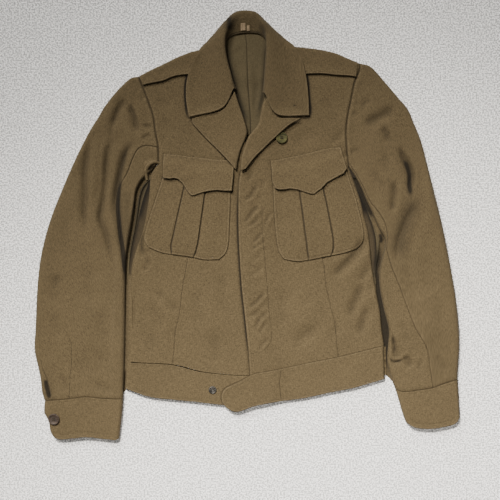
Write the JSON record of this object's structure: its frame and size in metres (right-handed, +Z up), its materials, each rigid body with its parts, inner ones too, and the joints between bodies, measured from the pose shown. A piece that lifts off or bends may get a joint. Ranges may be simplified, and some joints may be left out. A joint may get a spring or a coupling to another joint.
{
  "type": "waist-length wool field jacket laid flat",
  "caption": "Waist-length olive wool field jacket laid flat on its back, with notched collar, flap pockets, shoulder straps and a waistband with a round tab.",
  "frame": {"origin": "middle of the box round the jacket, on the surface it lies on", "axes": "+Z up from the surface, +Y towards the collar, +X towards the wearer's left"},
  "size_m": [0.6776, 0.6848, 0.023],
  "materials": {
    "serge": "olive-brown wool serge, matte with a fine twill",
    "serge_inside": "inside of the wool serge, a little greener",
    "label": "worn beige cotton, bare",
    "horn": "dark brown button with a dull gloss",
    "green_button": "olive green button",
    "steel": "worn dark snap"
  },
  "bodies": {
    "root": {"front_right": "serge", "front_left": "serge", "lapel_right": "serge", "lapel_left": "serge", "collar": "serge", "shoulder_strap_right": "serge", "shoulder_strap_left": "serge", "pocket_right": "serge", "pocket_left": "serge", "pocket_flap_right": "serge", "pocket_flap_left": "serge", "waistband_right": "serge", "waistband_left": "serge", "waistband_back": "serge", "sleeve_upper_right": "serge", "sleeve_under_right": "serge", "sleeve_upper_left": "serge", "sleeve_under_left": "serge", "cuff_right": "serge", "cuff_left": "serge", "back_right": "serge_inside", "back_left": "serge_inside", "underarm_panel_right": "serge_inside", "underarm_panel_left": "serge_inside", "neck_label": "label", "cuff_button_right": "horn", "throat_button": "green_button", "snap_stud": "steel"}
  },
  "joints": []
}
